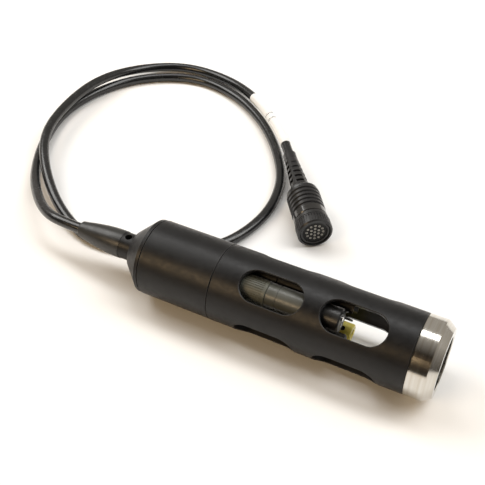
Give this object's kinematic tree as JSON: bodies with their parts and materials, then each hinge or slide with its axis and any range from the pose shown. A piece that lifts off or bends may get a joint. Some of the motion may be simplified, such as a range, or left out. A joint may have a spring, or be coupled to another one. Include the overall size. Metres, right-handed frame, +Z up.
{
  "type": "water quality probe",
  "caption": "Slotted cylindrical probe that carries plug-in water sensors behind a guard, on its own cable with a round bayonet connector.",
  "frame": {"origin": "on the plane the probe lies on, below the middle of its length, the free cable and its connector left out", "axes": "+X along the probe from the cable boot to the end weight, +Y towards the cable's loop, +Z up"},
  "size_m": [0.3457, 0.2525, 0.047],
  "materials": {
    "housing_plastic": "fine matte moulded",
    "guard_plastic": "fine matte turned",
    "cable_rubber": "satin",
    "boot_rubber": "satin",
    "seal_rubber": "satin",
    "stainless": "fine turned, polished",
    "screw_steel": "plain",
    "board": "solder mask",
    "components": "moulded",
    "copper": "tinned wire in coloured sheaths",
    "gold_contact": "gold plated",
    "grey_nut_plastic": "fine knurl",
    "black_nut_plastic": "fine knurl",
    "grey_sensor_plastic": "smooth satin",
    "black_sensor_plastic": "smooth satin",
    "platinum": "polished",
    "white_ceramic": "porous",
    "yellow_plastic": "moulded",
    "membrane_film": "thin clear film",
    "bulb_glass": "polished",
    "label_white": "wrapped printed label, blank marks only",
    "connector_rubber": "moulded satin",
    "connector_plastic": "glossy moulded",
    "insert_plastic": "moulded"
  },
  "bodies": {
    "bulkhead": {"housing_tube": "housing_plastic", "bulkhead_body": "housing_plastic", "bulkhead_end_cap": "housing_plastic", "cap_o_ring": "seal_rubber", "cable_boot": "boot_rubber", "cable_inner_end": "cable_rubber", "gland_seal": "seal_rubber", "gland_nut": "housing_plastic", "circuit_board": "board", "board_components": "components", "board_screws": "screw_steel", "board_standoffs": "screw_steel", "port_sockets": "gold_contact", "cable_conductors": "copper", "cable": "cable_rubber", "cable_label": "label_white", "cable_plug_end": "cable_rubber", "connector_boot": "connector_rubber", "connector_body": "connector_rubber", "connector_collar": "connector_plastic", "connector_insert": "insert_plastic", "connector_contacts": "gold_contact", "connector_seal": "seal_rubber"},
    "guard_seal": {"guard_o_ring": "seal_rubber"},
    "guard": {"guard_tube": "guard_plastic"},
    "weight_seal": {"end_weight_o_ring": "seal_rubber"},
    "weight": {"end_weight": "stainless"},
    "orp_sensor": {"orp_sensor_body": "grey_sensor_plastic", "orp_sensor_o_rings": "seal_rubber", "orp_sensor_contact": "gold_contact", "orp_button": "platinum", "orp_junction": "white_ceramic"},
    "orp_nut": {"orp_sensor_nut": "grey_nut_plastic"},
    "conductivity_sensor": {"conductivity_sensor_body": "black_sensor_plastic", "conductivity_sensor_o_rings": "seal_rubber", "conductivity_sensor_contact": "gold_contact", "conductivity_electrodes": "platinum", "thermistor_tip": "stainless"},
    "conductivity_nut": {"conductivity_sensor_nut": "black_nut_plastic"},
    "oxygen_sensor": {"oxygen_sensor_body": "black_sensor_plastic", "oxygen_sensor_o_rings": "seal_rubber", "oxygen_sensor_contact": "gold_contact", "oxygen_electrode": "gold_contact"},
    "oxygen_nut": {"oxygen_sensor_nut": "black_nut_plastic"},
    "ph_sensor": {"ph_sensor_body": "black_sensor_plastic", "ph_sensor_o_rings": "seal_rubber", "ph_sensor_contact": "gold_contact", "ph_stem": "white_ceramic", "ph_bulb": "bulb_glass", "ph_bulb_guard": "black_sensor_plastic"},
    "ph_nut": {"ph_sensor_nut": "black_nut_plastic"},
    "membrane_film": {"membrane": "membrane_film"},
    "oxygen_cap": {"membrane_cap": "yellow_plastic"},
    "coupling": {"coupling_ring": "connector_plastic"}
  },
  "joints": [
    {"name": "guard_draw_off", "type": "slide", "parent": "bulkhead", "child": "guard_seal", "axis": [1, 0, 0], "range_m": [0, 0.125]},
    {"name": "guard_turn", "type": "hinge", "parent": "guard_seal", "child": "guard", "pos_m": [0.04, 0, 0.0235], "axis": [1, 0, 0], "continuous": true},
    {"name": "weight_draw_off", "type": "slide", "parent": "guard", "child": "weight_seal", "axis": [1, 0, 0], "range_m": [0, 0.025]},
    {"name": "weight_turn", "type": "hinge", "parent": "weight_seal", "child": "weight", "pos_m": [0.108, 0, 0.0235], "axis": [1, 0, 0], "continuous": true},
    {"name": "orp_sensor_draw_out", "type": "slide", "parent": "bulkhead", "child": "orp_sensor", "axis": [1, 0, 0], "range_m": [0, 0.02]},
    {"name": "orp_nut_turn", "type": "hinge", "parent": "orp_sensor", "child": "orp_nut", "pos_m": [0.005, -0.0057, 0.03337], "axis": [1, 0, 0], "continuous": true},
    {"name": "conductivity_sensor_draw_out", "type": "slide", "parent": "bulkhead", "child": "conductivity_sensor", "axis": [1, 0, 0], "range_m": [0, 0.02]},
    {"name": "conductivity_nut_turn", "type": "hinge", "parent": "conductivity_sensor", "child": "conductivity_nut", "pos_m": [0.005, -0.00987, 0.0178], "axis": [1, 0, 0], "continuous": true},
    {"name": "oxygen_sensor_draw_out", "type": "slide", "parent": "bulkhead", "child": "oxygen_sensor", "axis": [1, 0, 0], "range_m": [0, 0.02]},
    {"name": "oxygen_nut_turn", "type": "hinge", "parent": "oxygen_sensor", "child": "oxygen_nut", "pos_m": [0.005, 0.0057, 0.01363], "axis": [1, 0, 0], "continuous": true},
    {"name": "ph_sensor_draw_out", "type": "slide", "parent": "bulkhead", "child": "ph_sensor", "axis": [1, 0, 0], "range_m": [0, 0.02]},
    {"name": "ph_nut_turn", "type": "hinge", "parent": "ph_sensor", "child": "ph_nut", "pos_m": [0.005, 0.00987, 0.0292], "axis": [1, 0, 0], "continuous": true},
    {"name": "membrane_cap_draw_off", "type": "slide", "parent": "oxygen_sensor", "child": "membrane_film", "axis": [1, 0, 0], "range_m": [0, 0.008]},
    {"name": "membrane_cap_turn", "type": "hinge", "parent": "membrane_film", "child": "oxygen_cap", "pos_m": [0.058, 0.0057, 0.01363], "axis": [1, 0, 0], "continuous": true},
    {"name": "coupling_ring_turn", "type": "hinge", "parent": "bulkhead", "child": "coupling", "pos_m": [0.00795, 0.07977, 0.0119], "axis": [0.5892, -0.808, 0], "range_deg": [0, 120]}
  ]
}
